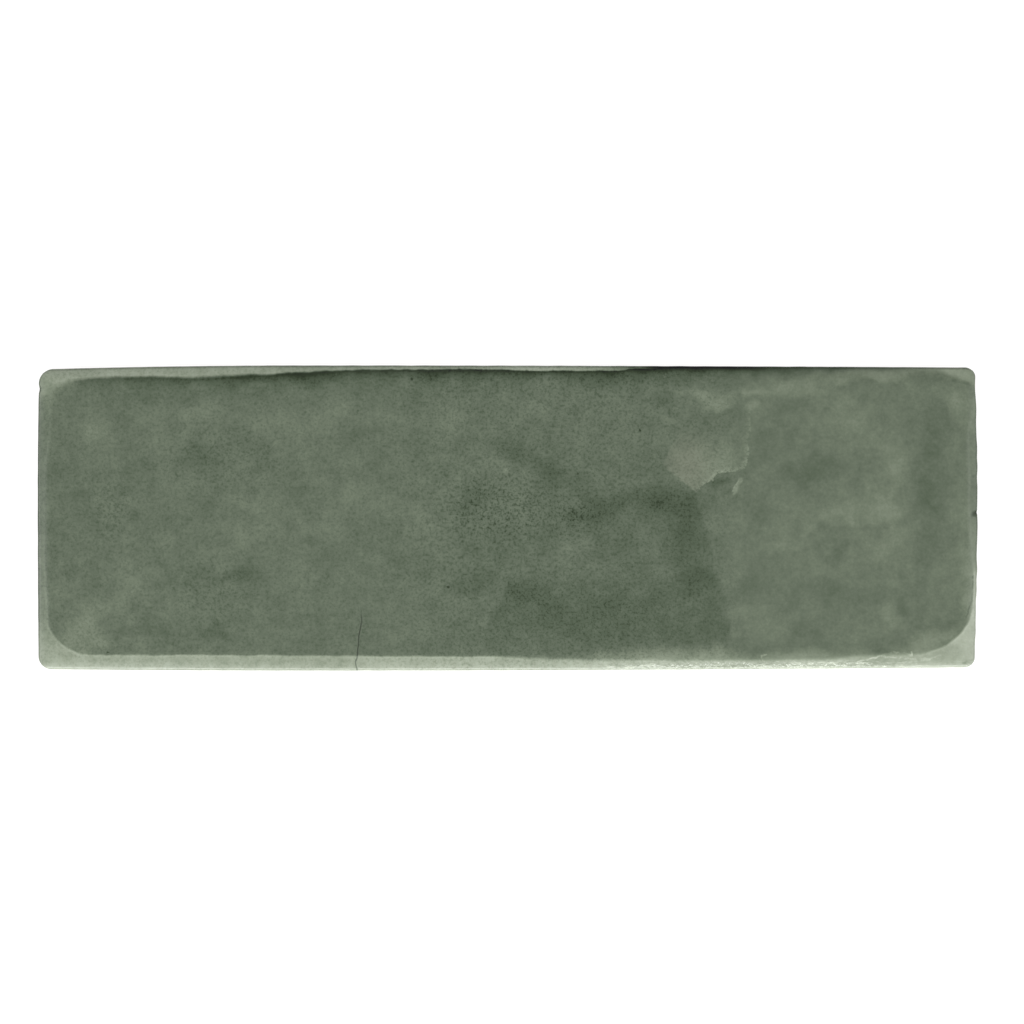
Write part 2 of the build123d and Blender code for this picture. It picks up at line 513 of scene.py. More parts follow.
    def blended(self, x: float, y: float, trait: RimTrait) -> float:
        """A trait of the rim, taken from the sides that are near.

        Args:
            x: Place along the tile.
            y: Place across the tile.
            trait: Which of the rim's traits.

        Returns:
            The trait's value at (x, y), nearer sides counting for more.
        """
        total = 0.0
        weights = 0.0
        rims = (self.left, self.right, self.bottom, self.top)
        for rim, place, distance in zip(rims, (y, y, x, x), self.plan.sides(x, y)):
            weight = 1.0 / max(distance, self.nearest) ** 3
            total += weight * getattr(rim, trait.value).at(place)
            weights += weight
        return total / weights

    def tone(self, x: float, y: float) -> float:
        """Tone of the thin glaze on the nearest stretch of rim, with its painted highlights and painted
        shade.

        Args:
            x: Place along the tile.
            y: Place across the tile.

        Returns:
            The tone at (x, y).
        """
        tone = self.blended(x, y, RimTrait.TONE) + sum(nick.at(x, y) for nick in self.nicks)
        # painted highlight along the lip of the thick glaze
        tone += self.painted_lip_highlight * math.exp(-abs(self.depth(x, y)) / self.lip_highlight_reach)
        # painted light on the outermost line: a highlight along the bottom edge, shade along the others
        outside = max(min(self.plan.sides(x, y)), 0.0)
        reach = self.blended(x, y, RimTrait.PAINTED_EDGE_LINE_REACH)
        return tone + self.blended(x, y, RimTrait.PAINTED_EDGE_LINE) * math.exp(-outside / reach)


@dataclass
class GlazePatch:
    """A pale, ragged patch where a second film of glaze has drawn back."""

    corners: tuple[Pair, ...] = (
        (52.1, 25.0), (51.5, 21.4), (51.8, 18.3), (50.8, 16.3), (51.5, 13.7), (50.5, 10.6), (48.4, 9.9),
        (44.4, 9.4), (43.5, 7.8), (41.8, 7.3), (40.3, 5.3), (36.2, 8.6), (33.4, 10.7), (33.1, 11.8),
        (35.4, 16.4), (38.5, 23.4),
    )
    fill_places: tuple[Pool, ...] = (
        Pool(41.0, 10.5, 24.0, 18.0, -20.0, 1.0),
        Pool(47.5, 12.5, 12.0, 14.0, 0.0, 0.4),
    )
    glow_places: tuple[Pool, ...] = (
        Pool(44.5, 8.2, 16.0, 8.0, 25.0, 1.3),
        Pool(51.0, 12.5, 6.0, 9.0, 0.0, 0.9),
        Pool(51.6, 19.0, 5.0, 16.0, 0.0, 0.45),
        Pool(36.0, 8.5, 9.0, 6.0, -45.0, 0.35),
    )

    def depth(self, x: float, y: float) -> float:
        """How far inside the patch's outline a point lies.

        Args:
            x: Place along the tile.
            y: Place across the tile.

        Returns:
            The distance, negative outside.
        """
        nearest = math.inf
        inside = False
        for (x0, y0), (x1, y1) in zip(self.corners, self.corners[1:] + self.corners[:1]):
            run = (x1 - x0) ** 2 + (y1 - y0) ** 2
            share = min(max(((x - x0) * (x1 - x0) + (y - y0) * (y1 - y0)) / run, 0.0), 1.0)
            nearest = min(nearest, math.hypot(x - x0 - share * (x1 - x0), y - y0 - share * (y1 - y0)))
            if (y0 > y) != (y1 > y) and x < x0 + (y - y0) * (x1 - x0) / (y1 - y0):
                inside = not inside
        return nearest if inside else -nearest

    def fill(self, x: float, y: float) -> float:
        """How pale the patch is, from about 1 at its palest place to 0 where it has faded out."""
        return sum(place.at(x, y) for place in self.fill_places)

    def glow(self, x: float, y: float) -> float:
        """How bright the patch's ragged edge is."""
        return sum(place.at(x, y) for place in self.glow_places)


@dataclass(frozen=True)
class FlowLine:
    """A line where one flow of glaze stopped against another: darker on one side, darkest beside the line."""

    line: Stops  # x of the line at each y
    bottom: float
    top: float
    tone: float
    reach: float  # how far from the line the dark side lasts
    dark_side: float  # -1 for the left, 1 for the right
    waver: float = 0.9  # how far the line wanders
    waver_size: float = 3.0
    fine_waver: float = 0.4
    fine_waver_size: float = 1.0
    bottom_fade: float = 4.0  # length over which it fades out at the bottom
    top_fade: float = 2.5
    edge: Pair = (-0.3, 0.5)  # distances behind the line between which it darkens

    def at(self, x: float, y: float) -> float:
        """Tone that the overlap adds.

        Args:
            x: Place along the tile.
            y: Place across the tile.

        Returns:
            The tone at (x, y).
        """
        waver = self.waver * meander(x, y, self.waver_size, Layer.FLOW)
        waver += self.fine_waver * meander(x, y, self.fine_waver_size, Layer.FINE_FLOW)
        behind = (x - self.line.at(y) + waver) * self.dark_side
        along = smooth_step(self.bottom, self.bottom + self.bottom_fade, y)
        along *= smooth_step(self.top, self.top - self.top_fade, y)
        return self.tone * along * smooth_step(*self.edge, behind) * math.exp(-max(behind, 0.0) / self.reach)


@dataclass
class GlazeDepth:
    """Tones that the glaze's uneven thickness gives the face."""

    glaze: GlazeField
    warp: float = 2.2  # how far the pools' outlines wander
    warp_size: float = 6.0
    fine_warp: float = 0.9
    fine_warp_size: float = 2.0
    flows: tuple[FlowLine, ...] = (
        FlowLine(
            Stops(((-26.0, 47.6), (-17.5, 46.4), (-7.0, 43.6), (4.8, 40.2))), -29.5, 5.5, -9.0, 14.0, -1.0
        ),
        FlowLine(Stops(((0.0, 41.6), (5.0, 40.3))), -4.0, 7.5, -1.5, 9.0, -1.0),
        FlowLine(Stops(((-26.0, -4.4), (-14.4, -0.6))), -29.5, -12.0, -7.0, 16.0, 1.0),
    )
    # deepest between x 30 and 50, where it is partly painted shade of the top edge, which faces away from the
    # key light
    bank_line: Stops = Stops((
        (-96.0, -4.0), (-88.0, -14.0), (-76.0, -24.0), (-61.0, -36.0), (-44.0, -56.0), (-30.0, -48.0),
        (-10.0, -62.0), (7.0, -54.0), (20.0, -42.0), (30.0, -80.0), (50.0, -80.0), (57.0, -36.0),
        (74.0, -28.0), (90.0, 0.0),
    ))
    bank_line_reach: Stops = Stops((
        (-90.0, 1.2), (-61.0, 0.8), (-44.0, 1.2), (-34.0, 0.6), (50.0, 0.5), (60.0, 0.8),
    ))
    bank_haze: Stops = Stops((
        (-96.0, 0.0), (-80.0, -10.0), (-44.0, -20.0), (-10.0, -25.0), (7.0, -16.0), (20.0, -25.0),
        (34.0, -26.0), (46.0, -20.0), (54.0, -12.0), (62.0, -4.0), (74.0, 3.0),
    ))
    bank_haze_reach: float = 2.6
    bank_rag: float = 0.7  # how unevenly both reach down
    bank_rag_size: float = 4.0

    def at(self, x: float, y: float) -> float:
        """Tone that pools, thin places, flow lines and the dark bank under the top edge add.

        Args:
            x: Place along the tile.
            y: Place across the tile.

        Returns:
            The tone at (x, y).
        """
        place = Vector((x, y, Layer.POOLS.value))
        shift = noise.noise_vector(place / self.warp_size) * self.warp
        shift += noise.noise_vector(place / self.fine_warp_size) * self.fine_warp
        tone = sum(pool.at(x + shift.x, y + shift.y) for pool in THICK_PLACES + THIN_PLACES)
        return tone + sum(flow.at(x, y) for flow in self.flows) + self.bank(x, y)

    def bank(self, x: float, y: float) -> float:
        """Tone under the top edge: a dark line of banked glaze, partly painted shade between x 30 and 50, and
        a haze below it.

        Args:
            x: Place along the tile.
            y: Place across the tile.

        Returns:
            The tone at (x, y).
        """
        top = max(self.glaze.plan.sides(x, y)[3] - self.glaze.top.margin.at(x), 0.0)
        ragged = 1.0 + self.bank_rag * meander(x, y, self.bank_rag_size, Layer.BANK)
        line = self.bank_line.at(x) * math.exp(-top / (self.bank_line_reach.at(x) * ragged))
        return line + self.bank_haze.at(x) * math.exp(-top / (self.bank_haze_reach * ragged))


@dataclass(frozen=True)
class Pattern:
    """A fractal noise: how large its features are, and how much finer noise is added to them."""

    size: float  # of its largest features
    detail: float  # octaves added to the first
    roughness: float  # strength of each octave, as a share of the one before


@dataclass
class NodeSheet:
    """Adds nodes to one material and links them."""

    material: bpy.types.Material

    @classmethod
    def start(cls, name: str) -> "NodeSheet":
        """A sheet for a new material.

        Args:
            name: The material's name.

        Returns:
            The sheet, with a plain shader on it.
        """
        material = bpy.data.materials.new(name)
        material.use_nodes = True
        return cls(material)

    @property
    def shader(self) -> bpy.types.Node:
        """The material's shader."""
        return self.material.node_tree.nodes["Principled BSDF"]

    @cached_property
    def place(self) -> Socket:
        """The tile's own coordinates, in millimetres."""
        metres = self.node("ShaderNodeTexCoord").outputs["Object"]
        return self.vector("MULTIPLY", metres, (1.0 / MM, 1.0 / MM, 1.0 / MM)).outputs[0]

    def plug(self, socket: Socket, value: object) -> None:
        """Links a socket to another, or gives it a value of its own.

        Args:
            socket: The input.
            value: The other socket, or the value.
        """
        if isinstance(value, Socket):
            self.material.node_tree.links.new(value, socket)
        else:
            socket.default_value = value

    def node(self, kind: str, *values: object, **settings: object) -> bpy.types.Node:
        """Adds a node.

        Args:
            kind: The node's type.
            values: Sockets or values for its inputs in order, None for an input that is left alone.
            settings: Those of its settings that are changed.

        Returns:
            The new node.
        """
        node = self.material.node_tree.nodes.new(kind)
        for name, setting in settings.items():
            setattr(node, name, setting)
        for socket, value in zip(node.inputs, values):
            if value is not None:
                self.plug(socket, value)
        return node

    def math(self, operation: str, *values: object) -> Socket:
        """The result of an operation on numbers, or on sockets that give them."""
        return self.node("ShaderNodeMath", *values, operation=operation).outputs[0]

    def vector(self, operation: str, *values: object) -> bpy.types.Node:
        """A node with an operation on vectors, which gives a vector or a number."""
        return self.node("ShaderNodeVectorMath", *values, operation=operation)

    def mark(self, mark: Mark) -> Socket:
        """One of the fields that the mesh carries."""
        return self.node("ShaderNodeAttribute", attribute_name=mark.value).outputs["Fac"]

    def noise(self, pattern: Pattern, place: Socket | None = None) -> Socket:
        """Fractal noise about zero.

        Args:
            pattern: The kind of noise.
            place: Where to read it, or None for the tile's own coordinates.

        Returns:
            A socket with values from about -0.5 to 0.5.
        """
        node = self.node("ShaderNodeTexNoise", self.place if place is None else place)
        node.inputs["Scale"].default_value = 1.0 / pattern.size
        node.inputs["Detail"].default_value = pattern.detail
        node.inputs["Roughness"].default_value = pattern.roughness
        return self.math("SUBTRACT", node.outputs["Fac"], 0.5)

    def step(self, value: object, low: float, high: float) -> Socket:
        """Rises smoothly from 0 at low to 1 at high, or falls where high is the lower."""
        ends = (low, high, 0.0, 1.0) if low < high else (high, low, 1.0, 0.0)
        return self.node("ShaderNodeMapRange", value, *ends, interpolation_type="SMOOTHSTEP").outputs[0]

    def blend(self, share: object, first: object, second: object) -> Socket:
        """A number that goes from the first to the second as the share goes from 0 to 1."""
        return self.node("ShaderNodeMix", share, None, first, second, data_type="FLOAT").outputs[0]

    def blend_colour(self, share: object, first: object, second: object) -> Socket:
        """A colour that goes from the first to the second as the share goes from 0 to 1."""
        skipped = (None,) * 5
        return self.node("ShaderNodeMix", share, *skipped, first, second, data_type="RGBA").outputs[2]

    def raise_relief(self, height: object) -> None:
        """Gives the shader a fine relief.

        Args:
            height: Socket with the height, in millimetres.
        """
        bump = self.node("ShaderNodeBump")
        bump.inputs["Strength"].default_value = 1.0
        bump.inputs["Distance"].default_value = MM
        self.plug(bump.inputs["Height"], height)
        self.plug(self.shader.inputs["Normal"], bump.outputs[0])


@dataclass(frozen=True)
class Stroke:
    """A thin line on the face, from point to point, paler or darker than the glaze round it."""

    points: tuple[Pair, ...]
    reach: float  # half its width
    tone: float
    core: float = 0.25  # share of the reach at which it has its full tone
    gaps: Pattern = Pattern(1.6, 2.0, 0.7)  # noise that breaks it
    gap_step: Pair = (-0.16, 0.1)  # noise at which it is gone, and at which it is whole

    def distance(self, sheet: NodeSheet, flat: object) -> Socket:
        """Distance to the line.

        Args:
            sheet: The material's nodes.
            flat: Socket with the place in plan, in millimetres.

        Returns:
            A socket with the distance in millimetres.
        """
        nearest = None
        for (x0, y0), (x1, y1) in zip(self.points, self.points[1:]):
            run = Vector((x1 - x0, y1 - y0, 0.0))
            along = sheet.vector("SUBTRACT", flat, (x0, y0, 0.0)).outputs[0]
            share = sheet.vector("DOT_PRODUCT", along, run / run.length_squared).outputs["Value"]
            share = sheet.math("MINIMUM", sheet.math("MAXIMUM", share, 0.0), 1.0)
            foot = sheet.vector("MULTIPLY", share, run).outputs[0]
            distance = sheet.vector("DISTANCE", along, foot).outputs["Value"]
            nearest = distance if nearest is None else sheet.math("MINIMUM", nearest, distance)
        return nearest

    def add(self, sheet: NodeSheet, flat: object, tone: object) -> Socket:
        """Draws the line.

        Args:
            sheet: The material's nodes.
            flat: Socket with the place in plan, in millimetres.
            tone: Socket with the glaze's tone.

        Returns:
            A socket with the tone and the line on it.
        """
        share = sheet.step(self.distance(sheet, flat), self.reach, self.core * self.reach)
        whole = sheet.step(sheet.noise(self.gaps, flat), *self.gap_step)
        return sheet.math("MULTIPLY_ADD", sheet.math("MULTIPLY", share, whole), self.tone, tone)


STROKES = (
    Stroke(((49.9, 8.8), (48.1, 5.5)), 0.8, 24.0),
    Stroke(((49.3, 8.4), (47.8, 5.8)), 0.3, 16.0),
    Stroke(((70.8, -31.4), (77.6, -29.8), (82.3, -28.5), (85.9, -29.1)), 0.35, 20.0),
    Stroke(((74.0, -30.6), (79.3, -29.4), (85.9, -30.0), (90.2, -29.8)), 0.3, 22.0),
    Stroke(((83.0, -30.7), (88.6, -30.3), (91.8, -29.2)), 0.3, 16.0),
    Stroke(((85.9, -29.3), (85.8, -28.5)), 0.3, 30.0),
    Stroke(((55.0, -29.0), (54.0, -29.3), (54.0, -30.1), (54.6, -30.5)), 0.3, 26.0),
    # painted shade: a dark line along the lip of the thick glaze near the right edge
    Stroke(((99.0, -12.4), (98.7, -17.6), (97.7, -21.0)), 0.3, -20.0),
    Stroke(((94.2, 29.3), (97.0, 28.9), (99.2, 28.0)), 0.5, -9.0),
    Stroke(((35.4, 9.2), (40.2, 5.4)), 0.3, 8.0),
    Stroke(((33.4, 30.2), (34.8, 30.7)), 0.4, 20.0),
    Stroke(((97.0, -30.9), (98.6, -30.2)), 0.5, -22.0),
    Stroke(((-85.1, -28.5), (-84.9, -28.5)), 0.45, -60.0),
    Stroke(((-60.1, 24.2), (-59.9, 24.1)), 0.4, -36.0),
    Stroke(((28.1, 18.8), (28.2, 18.6)), 0.4, -44.0),
    Stroke(((-32.2, 22.2), (-31.9, 22.8)), 0.3, -22.0),
)


@dataclass(frozen=True)
class BiscuitFinish:
    """The bare fired clay of the back and of the lower sides: matt, cream and faintly grainy."""

    name: str = "biscuit"
    pale: Colour = (0.56, 0.47, 0.36, 1.0)
    dark: Colour = (0.40, 0.32, 0.235, 1.0)
    dark_share: float = 0.35
    clouds: Pattern = Pattern(14.0, 4.0, 0.7)
    cloud_share: float = 1.5
    specks: Pattern = Pattern(0.5, 2.0, 0.8)
    speck_share: float = 0.9
    roughness: float = 0.85
    pits: Pattern = Pattern(0.6, 3.0, 0.7)
    pit_depth: float = 0.12

    def colour(self, sheet: NodeSheet) -> Socket:
        """Colour of the clay.

        Args:
            sheet: The material's nodes.

        Returns:
            A socket with the colour.
        """
        clouds = sheet.math("MULTIPLY_ADD", sheet.noise(self.clouds), self.cloud_share, self.dark_share)
        share = sheet.math("MULTIPLY_ADD", sheet.noise(self.specks), self.speck_share, clouds)
        limited = sheet.node("ShaderNodeClamp", share)
        return sheet.blend_colour(limited.outputs[0], self.pale, self.dark)

    def make(self) -> bpy.types.Material:
        """Builds the material.

        Returns:
            The clay's material.
        """
        sheet = NodeSheet.start(self.name)
        sheet.plug(sheet.shader.inputs["Base Color"], self.colour(sheet))
        sheet.shader.inputs["Roughness"].default_value = self.roughness
        sheet.raise_relief(sheet.math("MULTIPLY", sheet.noise(self.pits), self.pit_depth))
        return sheet.material


@dataclass(frozen=True)
class GlazeFinish:
    """The glossy green glaze: dark where it pools, paler where it thins, mottled, grainy and cracked once.

    Where two numbers are given for a step, it starts at the first and is complete at the second.
    """

    biscuit: BiscuitFinish
    name: str = "green_glaze"
    colours: tuple[Triple, ...] = (
        (13.0, 20.0, 11.0),
        (60.0, 70.0, 54.0),
        (85.6, 96.7, 80.1),
        (102.0, 112.0, 96.0),
        (112.7, 122.8, 105.1),
        (137.0, 146.5, 128.0),
        (163.6, 171.8, 154.3),
        (192.0, 200.0, 182.0),
    )  # screen levels, from the thickest glaze to the thinnest
    veil: float = 0.0149  # what the face mirrors of the sky above it
    body_level: float = 112.5
    mottles: Pattern = Pattern(7.0, 4.0, 0.95)
    mottle_tone: float = 54.0
    grains: Pattern = Pattern(0.62, 1.0, 0.9)
    grain_tone: float = 105.0
    grain_most: float = 0.04  # keeps pale grains fainter than dark ones
    pinhole_spacing: float = 9.0
    pinhole_edge: Pair = (0.05, 0.025)  # in spacings
    pinhole_pick: Pair = (0.55, 0.6)  # leaves out about half of them
    pinhole_grain: Pair = (0.4, 0.6)  # how grainy the glaze is where they show
    pinhole_tone: float = -34.0
    pinhole_height: float = -0.05
    patch_rags: Pattern = Pattern(1.5, 3.0, 0.85)
    patch_edge: Pair = (-0.2, 0.3)
    patch_tone: float = 17.0
    patch_line_outside: Pair = (-0.2, 0.1)
    patch_line_inside: Pair = (1.5, 0.1)
    patch_line_gaps: Pattern = Pattern(0.9, 2.0, 0.8)
    patch_line_gap_step: Pair = (-0.12, 0.06)
    patch_line_tone: float = 26.0
    stain_colour: Colour = (0.225, 0.205, 0.165, 1.0)  # warm, in the pale patch
    stain_share: float = 0.22
    stain_ends: Pair = (46.0, 37.0)  # along the tile
    rim_rags: Pattern = Pattern(2.2, 3.0, 0.6)
    rim_rag: float = 0.55  # how ragged the edge of the thick glaze is
    stroke_rag: float = 1.1  # how far the fine strokes stray from their lines
    stroke_rag_size: float = 1.2
    painted_glints: Pattern = Pattern(1.0, 2.0, 0.6)
    glint_stretch: Triple = (0.55, 1.7, 1.0)  # lays them along the edge
    glint_step: Pair = (0.05, 0.14)
    painted_glint_tone: float = 46.0
    crack_rag: float = 0.5
    crack_edge: Pair = (0.2, 0.06)
    crack_ends: Pair = (-18.0, -23.0)  # across the tile
    crack_tone: float = -48.0
    crack_height: float = -0.06
    crack_roughness: float = 0.4
    drips: Pattern = Pattern(9.0, 3.0, 0.5)
    drip_length: float = 3.5
    glaze_stop: Pair = (3.9, 3.3)  # heights at which the glaze ends on the sides
    gloss_roughness: float = 0.12
    mottle_roughness: float = 0.05
    refraction: float = 1.52
    peel: Pattern = Pattern(2.5, 2.0, 0.5)
    peel_height: float = 0.012
    lumps: Pattern = Pattern(1.1, 2.0, 0.7)
    lump_height: float = 0.35

    @staticmethod
    def linear(channel: float) -> float:
        """A screen level from 0 to 255 as a share of white light."""
        share = channel / 255.0
        return share / 12.92 if share < 0.04045 else ((share + 0.055) / 1.055) ** 2.4

    def ramp(self, sheet: NodeSheet, tone: object) -> Socket:
        """Colour of the glaze for a tone.

        Args:
            sheet: The material's nodes.
            tone: Socket with the tone.

        Returns:
            A socket with the colour.
        """
        darkest = self.colours[0][1]
        span = self.colours[-1][1] - darkest
        node = sheet.node("ShaderNodeValToRGB")
        elements = node.color_ramp.elements
        for index, colour in enumerate(self.colours):
            place = (colour[1] - darkest) / span
            element = elements[index] if index < 2 else elements.new(place)
            element.position = place
            element.color = (*(max(self.linear(channel) - self.veil, 0.0) for channel in colour), 1.0)
        sheet.plug(node.inputs[0], sheet.math("DIVIDE", sheet.math("SUBTRACT", tone, darkest), span))
        return node.outputs[0]

    def pinholes(self, sheet: NodeSheet) -> Socket:
        """The few pinholes of the glaze.

        Args:
            sheet: The material's nodes.

        Returns:
            A socket with 1 in a pinhole and 0 elsewhere.
        """
        node = sheet.node("ShaderNodeTexVoronoi", sheet.place)
        node.inputs["Scale"].default_value = 1.0 / self.pinhole_spacing
        draw = sheet.node("ShaderNodeSeparateColor", node.outputs["Color"])
        picked = sheet.step(draw.outputs[0], *self.pinhole_pick)
        grainy = sheet.step(sheet.mark(Mark.SPECKLE), *self.pinhole_grain)
        hole = sheet.step(node.outputs["Distance"], *self.pinhole_edge)
        return sheet.math("MULTIPLY", sheet.math("MULTIPLY", picked, grainy), hole)

    def patch_shares(self, sheet: NodeSheet) -> tuple[Socket, Socket]:
        """The pale patch.

        Args:
            sheet: The material's nodes.

        Returns:
            Sockets with how far the patch covers a place, and how far its bright, ragged edge does.
        """
        rags = sheet.noise(self.patch_rags)
        edge = sheet.math("ADD", rags, sheet.mark(Mark.PATCH_EDGE))
        fill = sheet.math("MULTIPLY", sheet.step(edge, *self.patch_edge), sheet.mark(Mark.PATCH_FILL))
        outside = sheet.step(edge, *self.patch_line_outside)
        line = sheet.math("MULTIPLY", outside, sheet.step(edge, *self.patch_line_inside))
        whole = sheet.step(sheet.noise(self.patch_line_gaps), *self.patch_line_gap_step)
        line = sheet.math("MULTIPLY", line, whole)
        return fill, sheet.math("MULTIPLY", line, sheet.mark(Mark.PATCH_GLOW))

    def ragged(self, sheet: NodeSheet) -> Socket:
        """Place in plan, shaken a little so that lines drawn by it come out ragged.

        Args:
            sheet: The material's nodes.

        Returns:
            A socket with the shaken place.
        """
        node = sheet.node("ShaderNodeTexNoise", sheet.place)
        node.inputs["Scale"].default_value = 1.0 / self.stroke_rag_size
        shake = sheet.vector("SUBTRACT", node.outputs["Color"], (0.5, 0.5, 0.5)).outputs[0]
        reach = (self.stroke_rag, self.stroke_rag, 0.0)
        shaken = sheet.vector("MULTIPLY_ADD", shake, reach, sheet.place).outputs[0]
        return sheet.vector("MULTIPLY", shaken, (1.0, 1.0, 0.0)).outputs[0]

    def glints(self, sheet: NodeSheet) -> Socket:
        """Painted glints: small bright spots of painted highlight that lie along the rough edge.

        Args:
            sheet: The material's nodes.

        Returns:
            A socket with 1 on a painted glint and 0 elsewhere.
        """
        stretched = sheet.vector("MULTIPLY", sheet.place, self.glint_stretch).outputs[0]
        painted_glints = sheet.step(sheet.noise(self.painted_glints, stretched), *self.glint_step)
        return sheet.math("MULTIPLY", painted_glints, sheet.mark(Mark.ROUGHEN))

    def crack(self, sheet: NodeSheet, rags: object, across: object) -> Socket:
        """The hairline crack.

        Args:
            sheet: The material's nodes.
            rags: Socket with the noise that shakes it.
            across: Socket with the place across the tile.

        Returns:
            A socket with 1 in the crack and 0 elsewhere.
        """
        distance = sheet.math("MULTIPLY_ADD", rags, self.crack_rag, sheet.mark(Mark.CRACK))
        line = sheet.step(sheet.math("ABSOLUTE", distance), *self.crack_edge)
        return sheet.math("MULTIPLY", line, sheet.step(across, *self.crack_ends))

    def thick_tone(self, sheet: NodeSheet, shares: tuple[tuple[object, float], ...]) -> Socket:
        """Tone of the thick glaze.

        Args:
            sheet: The material's nodes.
            shares: Sockets with the marks on it, and the tone that each adds.

        Returns:
            A socket with the tone.
        """
        tone = sheet.math("ADD", sheet.mark(Mark.POOLING), self.body_level)
        for share, added in shares:
            tone = sheet.math("MULTIPLY_ADD", share, added, tone)
        return tone

    def make(self) -> bpy.types.Material:
        """Builds the material.

        Returns:
            The glaze's material.
        """
        sheet = NodeSheet.start(self.name)
        along, across, up = sheet.node("ShaderNodeSeparateXYZ", sheet.place).outputs
        mottle = sheet.noise(self.mottles)
        grain = sheet.math("MINIMUM", sheet.noise(self.grains), self.grain_most)
        grain = sheet.math("MULTIPLY", grain, sheet.mark(Mark.SPECKLE))
        rags = sheet.noise(self.rim_rags)
        patch, patch_line = self.patch_shares(sheet)
        pinholes = self.pinholes(sheet)
        crack = self.crack(sheet, rags, across)

        thick = self.thick_tone(sheet, (
            (patch, self.patch_tone), (patch_line, self.patch_line_tone), (pinholes, self.pinhole_tone),
        ))
        edge = sheet.math("MULTIPLY_ADD", rags, self.rim_rag, sheet.mark(Mark.FIELD_DEPTH))
        on_rim = sheet.step(sheet.math("DIVIDE", edge, sheet.mark(Mark.FIELD_SOFT)), 1.0, -1.0)
        tone = sheet.blend(on_rim, thick, sheet.mark(Mark.RIM_TONE))
        tone = sheet.math("MULTIPLY_ADD", mottle, self.mottle_tone, tone)
        tone = sheet.math("MULTIPLY_ADD", grain, self.grain_tone, tone)
        # painted highlight: glints along the rough edge
        tone = sheet.math("MULTIPLY_ADD", self.glints(sheet), self.painted_glint_tone, tone)
        flat = self.ragged(sheet)
        for stroke in STROKES:
            tone = stroke.add(sheet, flat, tone)
        tone = sheet.math("MULTIPLY_ADD", crack, self.crack_tone, tone)

        stain = sheet.math("MULTIPLY", patch, sheet.step(along, *self.stain_ends))
        stain = sheet.math("MULTIPLY", stain, self.stain_share)
        colour = sheet.blend_colour(stain, self.ramp(sheet, tone), self.stain_colour)
        drip = sheet.math("MULTIPLY_ADD", sheet.noise(self.drips), self.drip_length, up)
        bare = sheet.step(drip, *self.glaze_stop)
        colour = sheet.blend_colour(bare, colour, self.biscuit.colour(sheet))
        sheet.plug(sheet.shader.inputs["Base Color"], colour)

        rough = sheet.math("MULTIPLY_ADD", mottle, self.mottle_roughness, self.gloss_roughness)
        rough = sheet.math("MULTIPLY_ADD", crack, self.crack_roughness, rough)
        sheet.plug(sheet.shader.inputs["Roughness"], sheet.blend(bare, rough, self.biscuit.roughness))
        sheet.shader.inputs["IOR"].default_value = self.refraction

        height = sheet.math("MULTIPLY", sheet.noise(self.peel), self.peel_height)
        height = sheet.math("MULTIPLY_ADD", pinholes, self.pinhole_height, height)
        height = sheet.math("MULTIPLY_ADD", crack, self.crack_height, height)
        lumps = sheet.math("MULTIPLY", sheet.noise(self.lumps), sheet.mark(Mark.ROUGHEN))
        sheet.raise_relief(sheet.math("MULTIPLY_ADD", lumps, self.lump_height, height))
        return sheet.material


